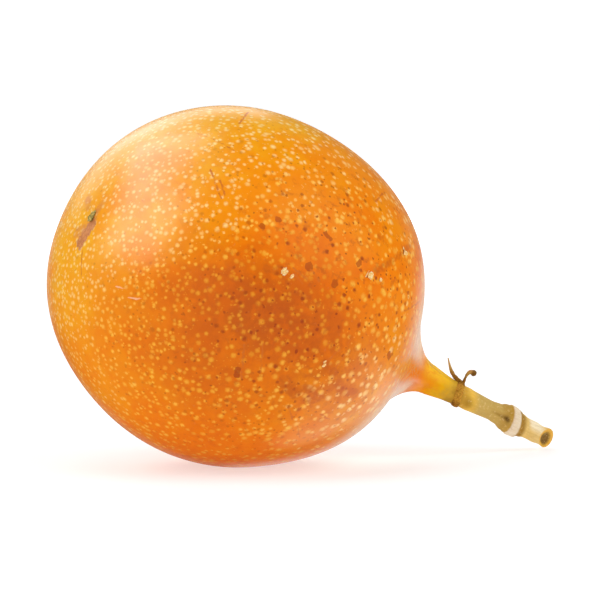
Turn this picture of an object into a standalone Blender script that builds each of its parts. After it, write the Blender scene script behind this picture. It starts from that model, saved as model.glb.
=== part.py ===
"""A sweet granadilla, an orange passion fruit, as picked and lying on its side. Metres, +Z up.

The fruit's own frame has its origin at the middle of the round body, +X along the stalk and +Z
on the side of the stalk that lies upwards. The fruit is modelled there and then laid down: the
stalk dips to the surface and turns a little towards +Y. The origin of the finished part is the
middle of the small flat spot that the fruit rests on.
"""

import math

import bmesh
import bpy
from mathutils import Matrix, Vector

# How the fruit lies
CENTRE = Vector((-0.0008, -0.0003, 0.0340))
STALK_DIP = math.radians(25.7)
STALK_YAW = math.radians(22.8)
STALK_ROLL = math.radians(7.0)

# The round body
BODY_LENGTH = 0.0720
BODY_WIDTH = 0.0679
BODY_FULLNESS = 2.09  # 2 is an ellipsoid, and more is fuller towards the ends
BODY_LEAN = math.radians(4.2)  # of the body's long axis, up from the stalk's line
# Faint waves of the rind along the fruit's outline: count, share of the radius, direction of a crest
WAVES = ((5, 0.0065, math.radians(-19.0)), (6, 0.0042, math.radians(-22.5)))

# The neck that the rind draws out into, and the flare between it and the body
FLARE_ANGLE = math.radians(27.0)  # where the flare leaves the body, from the stalk's line
FLARE_ANGLE_SWING = math.radians(3.0)  # added on the upper side, and taken off on the lower
FLARE_SWEEP_OUT = 0.0085  # pull of the curve on along the body
FLARE_SWEEP_BACK = 0.0045  # pull of the curve back from the neck
NECK_START = 0.0450
NECK_END = 0.0513
NECK_START_RADIUS = 0.00315
NECK_END_RADIUS = 0.00232
STALK_LIFT = 0.0004  # the stalk's line lies this far above the body's middle

# The joint with the flower's remains
JOINT_SLANT = math.tan(math.radians(9.0))  # the joint's upper side lies nearer the fruit
JOINT_GAP = 0.0003
JOINT_THICKNESS = 0.0010
JOINT_RADIUS = 0.00252

# The stem: distance from the body's middle, and radius there
STEM_END = 0.0785
STEM_PROFILE = (
    (0.0525, 0.00212),
    (0.0540, 0.00212),
    (0.0556, 0.00200),
    (0.0600, 0.00182),
    (0.0617, 0.00200),
    (0.0633, 0.00255),
    (0.0644, 0.00275),
    (0.0662, 0.00268),
    (0.0672, 0.00226),
    (0.0686, 0.00196),
    (0.0706, 0.00196),
    (0.0724, 0.00178),
    (0.0742, 0.00200),
    (STEM_END, 0.00204),
)
CUT_PLACE = 0.0745
CUT_TURN = math.radians(40.0)  # of the cut face, from square to the stem towards -Y

# The style's dried stub at the blossom end
STUB_ANGLE = math.radians(12.0)  # from the stalk's line, on the -Y side
STUB_DROP = math.radians(1.5)  # below the stalk's line
STUB_HEIGHT = 0.0016
STUB_RADIUS = 0.00065
STUB_CLEARANCE = 0.0003

# Facets
BODY_SEGMENTS = 56
BODY_RINGS = 38
FLARE_RINGS = 7
NECK_RINGS = 4
STEM_SEGMENTS = 20
STEM_RINGS = 34
BIT_SEGMENTS = 8

LAID_DOWN = (
    Matrix.Translation(CENTRE)
    @ Matrix.Rotation(STALK_YAW, 4, "Z")
    @ Matrix.Rotation(STALK_DIP, 4, "Y")
    @ Matrix.Rotation(STALK_ROLL, 4, "X")
)


def clear_scene():
    for obj in list(bpy.data.objects):
        bpy.data.objects.remove(obj, do_unlink=True)


def plain_material(name, colour, roughness):
    material = bpy.data.materials.new(name)
    material.use_nodes = True
    shader = material.node_tree.nodes["Principled BSDF"]
    shader.inputs["Base Color"].default_value = (*colour, 1.0)
    shader.inputs["Roughness"].default_value = roughness
    shader.inputs["Metallic"].default_value = 0.0
    material.diffuse_color = (*colour, 1.0)
    return material


def smooth_step(value):
    value = min(max(value, 0.0), 1.0)
    return value * value * (3.0 - 2.0 * value)


def body_point(direction):
    """The point of the round body's surface in a unit direction of the fruit's frame."""
    along = direction.x * math.cos(BODY_LEAN) + direction.z * math.sin(BODY_LEAN)
    across = math.sqrt(max(1.0 - along * along, 0.0))
    reach = (abs(along) / (BODY_LENGTH / 2)) ** BODY_FULLNESS
    reach += (across / (BODY_WIDTH / 2)) ** BODY_FULLNESS
    radius = reach ** (-1.0 / BODY_FULLNESS)
    round_outline = math.atan2(direction.z, direction.x)
    for count, share, crest in WAVES:
        wave = math.cos(count * (round_outline - crest))
        radius *= 1.0 + share * wave * (1.0 - direction.y**2)
    return direction * radius


def direction_at(angle, turn):
    """The unit direction at an angle from the stalk's line and a turn around it."""
    across = math.sin(angle)
    return Vector((math.cos(angle), across * math.sin(turn), across * math.cos(turn)))


def stalk_point(place, radius, turn, slant=1.0):
    """A point round the stalk's line; the slant leans its sections as the joint leans."""
    high = radius * math.cos(turn)
    x = place - slant * JOINT_SLANT * high
    return Vector((x, radius * math.sin(turn), high + STALK_LIFT))


def neck_radius(place):
    share = (place - NECK_START) / (NECK_END - NECK_START)
    slim = 1.0 - (1.0 - share) ** 1.6
    return NECK_START_RADIUS + (NECK_END_RADIUS - NECK_START_RADIUS) * slim


def flare_angle(turn):
    return FLARE_ANGLE + FLARE_ANGLE_SWING * math.cos(turn)


def flare_point(share, turn):
    """A point on the concave sweep from the body to the neck, as a cubic Bezier curve."""
    start = body_point(direction_at(flare_angle(turn), turn))
    before = body_point(direction_at(flare_angle(turn) + 0.01, turn))
    end = stalk_point(NECK_START, NECK_START_RADIUS, turn, slant=0.0)
    sweep = (start - before).normalized() * FLARE_SWEEP_OUT
    sweep_end = end - Vector((FLARE_SWEEP_BACK, 0.0, 0.0))
    rest = 1.0 - share
    return (
        start * rest**3
        + (start + sweep) * 3 * rest**2 * share
        + sweep_end * 3 * rest * share**2
        + end * share**3
    )


def rind_point(share, turn):
    """A point of the body, from the blossom end at share 0 to the flare at share 1."""
    angle = math.pi + (flare_angle(turn) - math.pi) * share
    return body_point(direction_at(angle, turn))


def ring_of(point_at, segments):
    return [point_at(2 * math.pi * i / segments) for i in range(segments)]


def closed_mesh(name, rings, first_tip=None, last_tip=None):
    """A closed body through rings of points, each end a tip or a flat face."""
    bm = bmesh.new()
    loops = [[bm.verts.new(point) for point in ring] for ring in rings]
    count = len(loops[0])
    for near, far in zip(loops, loops[1:]):
        for i in range(count):
            j = (i + 1) % count
            bm.faces.new((near[i], near[j], far[j], far[i]))
    for loop, tip in ((loops[0], first_tip), (loops[-1], last_tip)):
        if tip is None:
            bm.faces.new(loop)
            continue
        end = bm.verts.new(tip)
        for i in range(count):
            bm.faces.new((loop[i], loop[(i + 1) % count], end))
    bmesh.ops.recalc_face_normals(bm, faces=bm.faces)
    mesh = bpy.data.meshes.new(name)
    bm.to_mesh(mesh)
    bm.free()
    return mesh


def cut_flat(mesh, point, normal):
    """Cuts away what lies past a plane on the side of its normal, and closes the cut flat."""
    bm = bmesh.new()
    bm.from_mesh(mesh)
    everything = bm.verts[:] + bm.edges[:] + bm.faces[:]
    cut = bmesh.ops.bisect_plane(
        bm,
        geom=everything,
        dist=1e-6,
        plane_co=point,
        plane_no=normal,
        clear_outer=True,
    )
    rim = [item for item in cut["geom_cut"] if isinstance(item, bmesh.types.BMEdge)]
    bmesh.ops.holes_fill(bm, edges=rim, sides=0)
    bmesh.ops.recalc_face_normals(bm, faces=bm.faces)
    bm.to_mesh(mesh)
    bm.free()


def add_object(name, mesh, material):
    mesh.shade_smooth()
    mesh.set_sharp_from_angle(angle=math.radians(40))
    mesh.materials.append(material)
    obj = bpy.data.objects.new(name, mesh)
    bpy.context.scene.collection.objects.link(obj)
    return obj


def make_fruit():
    """The rind with its neck, one grown piece, flat where it rests."""
    rings = []
    for i in range(1, BODY_RINGS):
        share = i / BODY_RINGS
        rings.append(ring_of(lambda turn: rind_point(share, turn), BODY_SEGMENTS))
    for i in range(FLARE_RINGS):
        share = i / FLARE_RINGS
        rings.append(ring_of(lambda turn: flare_point(share, turn), BODY_SEGMENTS))
    for i in range(NECK_RINGS + 1):
        share = i / NECK_RINGS
        place = NECK_START + (NECK_END - NECK_START) * share
        radius = neck_radius(place)
        rings.append(
            ring_of(lambda turn: stalk_point(place, radius, turn, share), BODY_SEGMENTS)
        )
    mesh = closed_mesh("fruit", rings, first_tip=body_point(Vector((-1.0, 0.0, 0.0))))
    mesh.transform(LAID_DOWN)
    cut_flat(mesh, Vector((0.0, 0.0, 0.0)), Vector((0.0, 0.0, -1.0)))
    return add_object("fruit", mesh, plain_material("rind", (0.80, 0.25, 0.012), 0.42))


def stem_radius(place):
    """The radius along the stem, eased between the profile's points."""
    for (x0, r0), (x1, r1) in zip(STEM_PROFILE, STEM_PROFILE[1:]):
        if place <= x1:
            return r0 + (r1 - r0) * smooth_step((place - x0) / (x1 - x0))
    return STEM_PROFILE[-1][1]


def make_stem():
    """The cut stalk beyond the joint, with its swollen node and its slanting cut."""
    start = NECK_END + JOINT_THICKNESS + 2 * JOINT_GAP
    rings = []
    for i in range(STEM_RINGS + 1):
        place = start + (STEM_END - start) * i / STEM_RINGS
        radius = stem_radius(place)
        rings.append(ring_of(lambda turn: stalk_point(place, radius, turn), STEM_SEGMENTS))
    mesh = closed_mesh("stem", rings)
    face = Vector((math.cos(CUT_TURN), -math.sin(CUT_TURN), 0.0))
    cut_flat(mesh, Vector((CUT_PLACE, 0.0, STALK_LIFT)), face)
    mesh.transform(LAID_DOWN)
    return add_object("stem", mesh, plain_material("dry_stem", (0.56, 0.40, 0.13), 0.6))


def tapered_bit(name, route, radii):
    """A thin dried bit: a tube through the route's points, in the stalk's upright plane."""
    route = [Vector((x, y, z)) for x, y, z in route]
    rings = []
    for i, (centre, radius) in enumerate(zip(route, radii)):
        ahead = route[min(i + 1, len(route) - 1)] - route[max(i - 1, 0)]
        turn_to = Vector((0.0, 0.0, 1.0)).rotation_difference(ahead).to_matrix()
        rings.append(
            ring_of(
                lambda turn: centre
                + turn_to @ Vector((radius * math.cos(turn), radius * math.sin(turn), 0.0)),
                BIT_SEGMENTS,
            )
        )
    return closed_mesh(name, rings)


def joined_on(obj, name, mesh):
    """Joins a helper's body to the object with a Boolean union."""
    mesh.transform(LAID_DOWN)
    helper = bpy.data.objects.new(name, mesh)
    bpy.context.scene.collection.objects.link(helper)
    helper.hide_render = True
    helper.display_type = "WIRE"
    union = obj.modifiers.new(name, "BOOLEAN")
    union.operation = "UNION"
    union.solver = "EXACT"
    union.object = helper


def make_flower_remains():
    """The brown ring where the flower sat, with the two dried bits that still stand on it."""
    start = NECK_END + JOINT_GAP
    sections = ((0.0, 0.93), (0.2, 1.0), (0.8, 1.0), (1.0, 0.92))
    rings = [
        ring_of(
            lambda turn: stalk_point(
                start + JOINT_THICKNESS * share, JOINT_RADIUS * size, turn
            ),
            STEM_SEGMENTS,
        )
        for share, size in sections
    ]
    mesh = closed_mesh("flower_remains", rings)
    mesh.transform(LAID_DOWN)
    remains = add_object(
        "flower_remains", mesh, plain_material("dry_flower", (0.23, 0.11, 0.025), 0.7)
    )
    top = JOINT_RADIUS + STALK_LIFT
    spine = (
        (0.0517, 0.0, top - 0.0006),
        (0.0512, 0.0, top + 0.0001),
        (0.0503, 0.0, top + 0.00055),
        (0.0492, 0.0, top + 0.0008),
        (0.0481, 0.0, top + 0.0013),
        (0.0472, 0.0, top + 0.0022),
        (0.0466, 0.0, top + 0.0033),
    )
    spine_radii = (0.0005, 0.00042, 0.00036, 0.00034, 0.0003, 0.00022, 0.00012)
    joined_on(remains, "spine_shape", tapered_bit("spine_shape", spine, spine_radii))
    curl = (
        (0.0519, 0.0, top - 0.0006),
        (0.0519, 0.0, top + 0.0004),
        (0.0520, 0.0, top + 0.0014),
        (0.0522, 0.0, top + 0.0022),
        (0.0525, 0.0, top + 0.0028),
        (0.0530, 0.0, top + 0.0030),
        (0.0535, 0.0, top + 0.0027),
    )
    curl_radii = (0.00045, 0.0004, 0.00034, 0.00034, 0.00042, 0.00052, 0.00042)
    joined_on(remains, "curl_shape", tapered_bit("curl_shape", curl, curl_radii))
    return remains


def make_style_stub():
    """The little dried base of the style, a leaning cone on the blossom end."""
    out = Vector((-math.cos(STUB_ANGLE), -math.sin(STUB_ANGLE), -math.sin(STUB_DROP)))
    out.normalize()
    foot = body_point(out) + out * STUB_CLEARANCE
    lean = (out + Vector((0.15, 0.0, 0.55))).normalized()
    sections = ((0.0, 0.85), (0.22, 1.0), (0.5, 0.75), (0.8, 0.4))
    frame = Vector((0.0, 0.0, 1.0)).rotation_difference(out).to_matrix()
    rings = []
    for share, size in sections:
        middle = foot + (out * (1.0 - share) + lean * share) * STUB_HEIGHT * share
        reach = STUB_RADIUS * size
        rings.append(
            ring_of(
                lambda turn: middle
                + frame @ Vector((reach * math.cos(turn), reach * math.sin(turn), 0.0)),
                BIT_SEGMENTS,
            )
        )
    mesh = closed_mesh("style_stub", rings, last_tip=foot + lean * STUB_HEIGHT)
    mesh.transform(LAID_DOWN)
    return add_object("style_stub", mesh, plain_material("dry_style", (0.19, 0.15, 0.03), 0.8))


clear_scene()
make_fruit()
make_stem()
make_flower_remains()
make_style_stub()
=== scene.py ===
"""The looks of the sweet granadilla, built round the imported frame. Metres, +Z up.

The fruit's own frame has its origin at the middle of the round body, +X along the stalk and +Z
on the side of the stalk that lies upwards, and LAID_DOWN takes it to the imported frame. An angle
is measured from the stalk's line, and a turn around it, from the upper side towards +Y.
"""

import functools
import math

import bpy
import numpy as np
from mathutils import Matrix, Vector, noise


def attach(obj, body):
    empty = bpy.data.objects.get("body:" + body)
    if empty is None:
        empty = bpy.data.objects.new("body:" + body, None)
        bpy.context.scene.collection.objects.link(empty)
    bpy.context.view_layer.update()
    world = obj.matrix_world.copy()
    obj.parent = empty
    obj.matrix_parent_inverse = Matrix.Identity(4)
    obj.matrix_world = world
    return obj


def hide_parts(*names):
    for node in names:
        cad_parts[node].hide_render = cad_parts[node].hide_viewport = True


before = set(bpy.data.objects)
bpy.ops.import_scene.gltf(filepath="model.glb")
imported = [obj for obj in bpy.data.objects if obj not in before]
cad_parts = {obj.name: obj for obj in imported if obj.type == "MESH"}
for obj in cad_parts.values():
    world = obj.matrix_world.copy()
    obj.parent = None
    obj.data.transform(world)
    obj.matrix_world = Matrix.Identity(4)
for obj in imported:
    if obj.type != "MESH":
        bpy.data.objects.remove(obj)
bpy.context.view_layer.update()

MM = 0.001

# How the fruit lies
CENTRE = Vector((-0.0008, -0.0003, 0.0340))
STALK_DIP = math.radians(25.7)
STALK_YAW = math.radians(22.8)
STALK_ROLL = math.radians(7.0)
LAID_DOWN = (
    Matrix.Translation(CENTRE)
    @ Matrix.Rotation(STALK_YAW, 4, "Z")
    @ Matrix.Rotation(STALK_DIP, 4, "Y")
    @ Matrix.Rotation(STALK_ROLL, 4, "X")
)

# The round body
BODY_LENGTH = 0.0720
BODY_WIDTH = 0.0679
BODY_FULLNESS = 2.09
BODY_LEAN = math.radians(4.2)
WAVES = ((5, 0.0065, math.radians(-19.0)), (6, 0.0042, math.radians(-22.5)))

# The flare and the neck
FLARE_ANGLE = math.radians(27.0)
FLARE_ANGLE_SWING = math.radians(3.0)
FLARE_SWEEP_OUT = 0.0085
FLARE_SWEEP_BACK = 0.0045
FLARE_LOOK_BACK = 0.01  # radians, to find which way the body runs
NECK_START = 0.0450
NECK_END = 0.0513
NECK_START_RADIUS = 0.00315
NECK_END_RADIUS = 0.00232
NECK_SLIMMING = 1.6
STALK_LIFT = 0.0004

# The joint and the stem
JOINT_SLANT = math.tan(math.radians(9.0))
JOINT_GAP = 0.0003
JOINT_THICKNESS = 0.0010
JOINT_RADIUS = 0.00252
JOINT_SWING = 0.0009
SWING_PLACES = (0.0478, 0.0512, 0.0524, 0.0562)  # it starts, is full, fades and ends here
STEM_END = 0.0785
STEM_PROFILE = (
    (0.0525, 0.00212),
    (0.0540, 0.00212),
    (0.0556, 0.00200),
    (0.0600, 0.00182),
    (0.0617, 0.00200),
    (0.0633, 0.00255),
    (0.0644, 0.00275),
    (0.0662, 0.00268),
    (0.0672, 0.00226),
    (0.0686, 0.00196),
    (0.0706, 0.00196),
    (0.0724, 0.00178),
    (0.0742, 0.00200),
    (STEM_END, 0.00204),
)
CUT_PLACE = 0.0745
CUT_TURN = math.radians(40.0)

# The style's stub
STUB_ANGLE = math.radians(12.0)
STUB_DROP = math.radians(1.5)
STUB_HEIGHT = 0.0016
STUB_RADIUS = 0.00065

# Fineness of the meshes
RIND_AROUND = 320
BODY_ROWS = 210
FLARE_ROWS = 40
NECK_ROWS = 20
STEM_AROUND = 96
STEM_ROWS = 230
FLAKE_AROUND = 14
RING_AROUND = 120
RING_ROWS = 30
BIT_AROUND = 18
BIT_ROWS = 44
STUB_AROUND = 48
STUB_ROWS = 30


# ---- the fruit's form


def turns(count):
    return np.linspace(0.0, 2 * math.pi, count, endpoint=False)


def direction_at(angle, turn):
    across = np.sin(angle)
    parts = np.broadcast_arrays(np.cos(angle), across * np.sin(turn), across * np.cos(turn))
    return np.stack(parts, axis=-1)


def body_point(direction):
    """The points of the round body's surface in unit directions of the fruit's frame."""
    x, y, z = np.moveaxis(direction, -1, 0)
    along = x * math.cos(BODY_LEAN) + z * math.sin(BODY_LEAN)
    across = np.sqrt(np.maximum(1.0 - along**2, 0.0))
    reach = (np.abs(along) / (BODY_LENGTH / 2)) ** BODY_FULLNESS
    reach = reach + (across / (BODY_WIDTH / 2)) ** BODY_FULLNESS
    radius = reach ** (-1.0 / BODY_FULLNESS)
    round_outline = np.arctan2(z, x)
    for count, share, crest in WAVES:
        radius = radius * (1.0 + share * np.cos(count * (round_outline - crest)) * (1.0 - y**2))
    return direction * radius[..., None]


def stalk_point(place, radius, turn, slant=1.0):
    """Points round the stalk's line; the slant leans a section as the joint leans."""
    high = radius * np.cos(turn)
    parts = (place - slant * JOINT_SLANT * high, radius * np.sin(turn), high + STALK_LIFT)
    return np.stack(np.broadcast_arrays(*parts), axis=-1)


def unit(vectors):
    return vectors / np.linalg.norm(vectors, axis=-1, keepdims=True)


def smooth_step(value, start=0.0, end=1.0):
    value = np.clip((np.asarray(value, float) - start) / (end - start), 0.0, 1.0)
    return value * value * (3.0 - 2.0 * value)


def band(value, start, full, fade, end):
    """1 from full to fade, easing to 0 at the start and at the end."""
    return smooth_step(value, start, full) * smooth_step(value, end, fade)


def flare_angle(turn):
    return FLARE_ANGLE + FLARE_ANGLE_SWING * np.cos(turn)


def flare_point(share, turn):
    """Points on the concave sweep from the body to the neck, a cubic Bezier curve at each turn."""
    start = body_point(direction_at(flare_angle(turn), turn))
    before = body_point(direction_at(flare_angle(turn) + FLARE_LOOK_BACK, turn))
    end = stalk_point(NECK_START, NECK_START_RADIUS, turn, slant=0.0)
    swept = start + unit(start - before) * FLARE_SWEEP_OUT
    held = end - np.array((FLARE_SWEEP_BACK, 0.0, 0.0))
    share = share[..., None]
    rest = 1.0 - share
    near = start * rest**3 + swept * 3 * rest**2 * share
    return near + held * 3 * rest * share**2 + end * share**3


def swung(place, turn):
    """Places near the joint, which is set back on the camera's side of the stalk."""
    return place + JOINT_SWING * np.sin(turn) * band(place, *SWING_PLACES)


def neck_radius(place):
    share = (place - NECK_START) / (NECK_END - NECK_START)
    slim = 1.0 - (1.0 - share) ** NECK_SLIMMING
    return NECK_START_RADIUS + (NECK_END_RADIUS - NECK_START_RADIUS) * slim


def rind_rows():
    """Rows of points round the fruit, from the blossom end to the joint."""
    turn = turns(RIND_AROUND)[None, :]
    share = (np.arange(1, BODY_ROWS) / BODY_ROWS)[:, None]
    angle = math.pi + (flare_angle(turn) - math.pi) * share
    body = body_point(direction_at(angle, turn))
    share = (np.arange(FLARE_ROWS) / FLARE_ROWS)[:, None]
    flare = flare_point(share, turn)
    share = (np.arange(NECK_ROWS + 1) / NECK_ROWS)[:, None]
    place = NECK_START + (NECK_END + JOINT_GAP - NECK_START) * share
    radius = neck_radius(np.minimum(place, NECK_END))
    neck = stalk_point(swung(place, turn), radius, turn, share)
    return np.concatenate((body, flare, neck))


# ---- mesh helpers


def rows_and_faces(rows, first_tip, last_tip):
    """Points and faces through closed rows of points, with a fan to a tip at each end."""
    count, around = rows.shape[:2]
    index = np.arange(count * around).reshape(count, around)
    after = np.roll(index, -1, axis=1)
    quads = np.stack((index[:-1], index[1:], after[1:], after[:-1]), axis=-1)
    faces = quads.reshape(-1, 4).tolist()
    for tip, edge in enumerate(((index[0], after[0]), (after[-1], index[-1]))):
        fan = np.stack((*edge, np.full(around, index.size + tip)), axis=-1)
        faces += fan.tolist()
    return [*rows.reshape(-1, 3).tolist(), list(first_tip), list(last_tip)], faces


def mesh_of(name, *parts):
    """One mesh of several sets of points and faces."""
    points = []
    faces = []
    for part_points, part_faces in parts:
        faces += [[i + len(points) for i in face] for face in part_faces]
        points += part_points
    mesh = bpy.data.meshes.new(name)
    mesh.from_pydata(points, [], faces)
    mesh.update()
    return mesh


def points_of(mesh, field="co"):
    values = np.empty(len(mesh.vertices) * 3)
    mesh.vertices.foreach_get(field, values)
    return values.reshape(-1, 3)


def set_points(mesh, points):
    mesh.vertices.foreach_set("co", points.ravel())
    mesh.update()


def store(mesh, name, values):
    """Keeps one number, or one vector, for each point of the mesh."""
    vector = values.ndim == 2
    layer = mesh.attributes.new(name, "FLOAT_VECTOR" if vector else "FLOAT", "POINT")
    layer.data.foreach_set("vector" if vector else "value", values.astype(np.float32).ravel())


def noise_at(points, size, seed):
    """Smooth noise from -1 to 1 at points, with features of about this size."""
    offset = Vector((seed, 2.3 * seed, -1.7 * seed))
    return np.array([noise.noise(Vector(p) / size + offset) for p in points])


def eased(value, stops):
    """The value between stops of (place, number or colour), eased from each to the next."""
    value = np.asarray(value, float)
    places = np.array([stop[0] for stop in stops])
    wanted = np.array([stop[1] for stop in stops], float)
    after = np.clip(np.searchsorted(places, value), 1, len(stops) - 1)
    share = smooth_step((value - places[after - 1]) / (places[after] - places[after - 1]))
    if wanted.ndim == 2:
        share = share[..., None]
    return wanted[after - 1] + (wanted[after] - wanted[after - 1]) * share


def new_object(name, data):
    obj = bpy.data.objects.new(name, data)
    bpy.context.scene.collection.objects.link(obj)
    return obj


def show(name, mesh, material, node):
    """Makes the object, lays it down as the fruit lies, and tells the frame what it stands for."""
    mesh.transform(LAID_DOWN)
    mesh.shade_smooth()
    mesh.materials.append(material)
    obj = new_object(name, mesh)
    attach(obj, "root")
    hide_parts(node)


# ---- material helpers

# How much the surfaces reflect, from 0 to 1
RIND_SHEEN = 0.20
NECK_SHEEN = 0.12
DRY_SHEEN = 0.04


class Graph:
    """A material's nodes, built up by calls."""

    def __init__(self, name):
        self.material = bpy.data.materials.new(name)
        self.material.use_nodes = True
        self.tree = self.material.node_tree
        self.shader = self.tree.nodes["Principled BSDF"]

    def feed(self, socket, value):
        if isinstance(value, bpy.types.NodeSocket):
            self.tree.links.new(value, socket)
        elif socket.type == "RGBA":
            socket.default_value = (*value, 1.0)
        else:
            socket.default_value = value

    def node(self, kind, inputs=(), **settings):
        made = self.tree.nodes.new(kind)
        for name, value in settings.items():
            setattr(made, name, value)
        for key, value in dict(inputs).items():
            self.feed(made.inputs[key], value)
        return made

    def attribute(self, name, output="Fac"):
        return self.node("ShaderNodeAttribute", attribute_name=name).outputs[output]

    def math(self, operation, first, second=0.0, clamp=False):
        made = self.node("ShaderNodeMath", {0: first, 1: second}, operation=operation)
        made.use_clamp = clamp
        return made.outputs[0]

    def times(self, *values):
        return functools.reduce(functools.partial(self.math, "MULTIPLY"), values)

    def most(self, *values):
        return functools.reduce(functools.partial(self.math, "MAXIMUM"), values)

    def vector(self, operation, first, second=(0.0, 0.0, 0.0), output=0):
        inputs = {0: first, 3 if operation == "SCALE" else 1: second}
        return self.node("ShaderNodeVectorMath", inputs, operation=operation).outputs[output]

    def mix(self, share, first, second):
        inputs = {0: share, 6: first, 7: second}
        return self.node("ShaderNodeMix", inputs, data_type="RGBA").outputs[2]

    def between(self, value, start, end, low=0.0, high=1.0):
        """A smooth step of the value, from low at start to high at end."""
        inputs = {0: value, 1: start, 2: end, 3: low, 4: high}
        made = self.node("ShaderNodeMapRange", inputs, interpolation_type="SMOOTHSTEP")
        return made.outputs[0]

    def either_way(self, value, reach):
        """A noise turned into a number from minus to plus the reach."""
        return self.between(value, 0.3, 0.7, -reach, reach)

    def ramp(self, value, stops):
        """A colour by the value, between stops of (place, colour)."""
        made = self.node("ShaderNodeValToRGB", {0: value})
        elements = made.color_ramp.elements
        while len(elements) < len(stops):
            elements.new(0.5)
        for element, (place, colour) in zip(elements, stops):
            element.position = place
            element.color = (*colour, 1.0)
        return made.outputs[0]

    def noise(self, at, size, detail=2.0, roughness=0.5, output="Fac"):
        inputs = {"Vector": at, "Scale": 1.0 / size, "Detail": detail, "Roughness": roughness}
        return self.node("ShaderNodeTexNoise", inputs).outputs[output]

    def drawn_out(self, at, share):
        """The place for a noise that is drawn out along the stalk's line."""
        return self.node("ShaderNodeMapping", {"Vector": at, "Scale": (share, 1.0, 1.0)}).outputs[0]

    def shaken(self, at, size, reach, detail=2.0):
        """The place moved by noise, up to about half the reach each way."""
        moved = self.noise(at, size, detail, output="Color")
        moved = self.vector("SUBTRACT", moved, (0.5, 0.5, 0.5))
        return self.vector("ADD", at, self.vector("SCALE", moved, reach))

    def dots(self, at, out, cell, smallest, largest, share=1.0, soft=0.5):
        """A mask of round dots, one to a cell on this share of the cells, and a number for each.

        The cells are solid ones, so a dot's distance is measured along the surface, whose normal
        is out, and a cell whose middle lies too deep or too high has none.
        """
        made = self.node("ShaderNodeTexVoronoi", {"Vector": at, "Scale": 1.0 / cell})
        split = self.node("ShaderNodeSeparateColor", {0: made.outputs["Color"]})
        chance, level, size = split.outputs
        gap = self.vector("SUBTRACT", at, made.outputs["Position"])
        depth = self.vector("DOT_PRODUCT", gap, out, output=1)
        gap = self.vector("SUBTRACT", gap, self.vector("SCALE", out, depth))
        distance = self.vector("LENGTH", gap, output=1)
        depth = self.math("ABSOLUTE", depth)
        radius = self.math("ADD", smallest, self.times(size, size, largest - smallest))
        radius = self.times(radius, self.between(depth, 0.43 * cell, 0.36 * cell))
        radius = self.times(radius, self.math("LESS_THAN", chance, share))
        nearness = self.math("DIVIDE", distance, self.math("ADD", radius, 1e-4))
        return self.between(nearness, 1.0 + soft / 2, 1.0 - soft), level

    def stroke(self, at, start, end, half_width, soft):
        """1 within the half width of the line from start to end, and 0 past the soft edge."""
        line = end - start
        out = self.vector("SUBTRACT", at, tuple(start))
        along = self.vector("DOT_PRODUCT", out, tuple(line / line.dot(line)), output=1)
        along = self.math("ADD", along, 0.0, clamp=True)
        gap = self.vector("SUBTRACT", out, self.vector("SCALE", tuple(line), along))
        return self.between(self.vector("LENGTH", gap, output=1), half_width + soft, half_width)

    def finish(self, colour, roughness, bumps, sheen=DRY_SHEEN):
        """Feeds the shader; a bump is a height from 0 to 1 and its distance in metres."""
        normal = {}
        for height, distance in bumps:
            made = self.node("ShaderNodeBump", {"Height": height, "Distance": distance, **normal})
            normal = {"Normal": made.outputs[0]}
        inputs = {"Base Color": colour, "Roughness": roughness, "Specular IOR Level": sheen}
        for name, value in {**inputs, **normal}.items():
            self.feed(self.shader.inputs[name], value)
        return self.material


# ---- the rind

# Relief of the rind: size of the features and height, in metres
BROAD_RELIEF = (0.0170, 0.00008)
MIDDLE_RELIEF = (0.0050, 0.000016)
FINE_RELIEF = (0.0019, 0.000007)
RELIEF_INSET = 0.00007
STUB_HOLLOW = 0.00030
STUB_HOLLOW_REACH = 0.0020
FLARE_FOLDS = 7
FLARE_FOLD_DEPTH = 0.00013
FOLD_SWAY_SIZE = 0.0060

# Along the stalk's line: where each starts, is full, fades and ends
FOLD_PLACES = (0.0330, 0.0400, 0.0460, 0.0505)
FLARE_PLACES = (0.0225, 0.0320, 0.0375, 0.0425)
NECK_COLOUR_START = 0.0330
# The flare's painted sheen fades on the side away from the camera
FAR_SHEEN_PLACES = (0.0385, 0.0330)  # whole past the first, and most is lost by the second
FAR_SHEEN_LOSS = 0.7

# Colours of the skin, from the yellowest to the reddest
SKIN_COLOURS = (
    (0.0, (0.90, 0.405, 0.009)),
    (0.35, (0.89, 0.295, 0.003)),
    (0.75, (0.86, 0.202, 0.001)),
    (1.0, (0.79, 0.156, 0.001)),
)
SPECK_COLOURS = (
    (0.0, (0.98, 0.74, 0.28)),
    (0.35, (0.98, 0.64, 0.24)),
    (0.6, (0.95, 0.50, 0.060)),
    (0.85, (0.84, 0.36, 0.022)),
    (1.0, (0.77, 0.29, 0.012)),
)
DEEP_SPECK_COLOUR = (0.93, 0.46, 0.030)
# Russet, and on the side facing the camera partly painted shade
RUSSET_AND_SHADE_COLOUR = (0.50, 0.085, 0.005)
FRECKLE_COLOUR = (0.34, 0.042, 0.006)
SCAB_COLOUR = (0.50, 0.16, 0.065)
SCAB_CREST_COLOUR = (0.66, 0.27, 0.11)
BLUSH_COLOUR = (0.66, 0.22, 0.06)
SCRATCH_COLOUR = (0.64, 0.145, 0.014)
SMUDGE_COLOUR = (0.52, 0.095, 0.008)
PALE_SCAR_COLOUR = (0.95, 0.52, 0.28)
RUDDY_COLOUR = (0.66, 0.27, 0.12)
# The flare's pale painted sheen
FLARE_SHEEN_COLOUR = (0.86, 0.65, 0.41)
NECK_COLOURS = (
    (0.40, (0.86, 0.27, 0.012)),
    (0.58, (0.82, 0.275, 0.002)),
    (0.74, (0.76, 0.385, 0.002)),
    (0.88, (0.58, 0.325, 0.028)),
    (0.97, (0.42, 0.22, 0.020)),
)
# A painted highlight along the neck's upper side
NECK_HIGHLIGHT_COLOUR = (0.99, 0.60, 0.035)
NECK_STREAK_COLOUR = (0.80, 0.22, 0.01)

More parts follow.
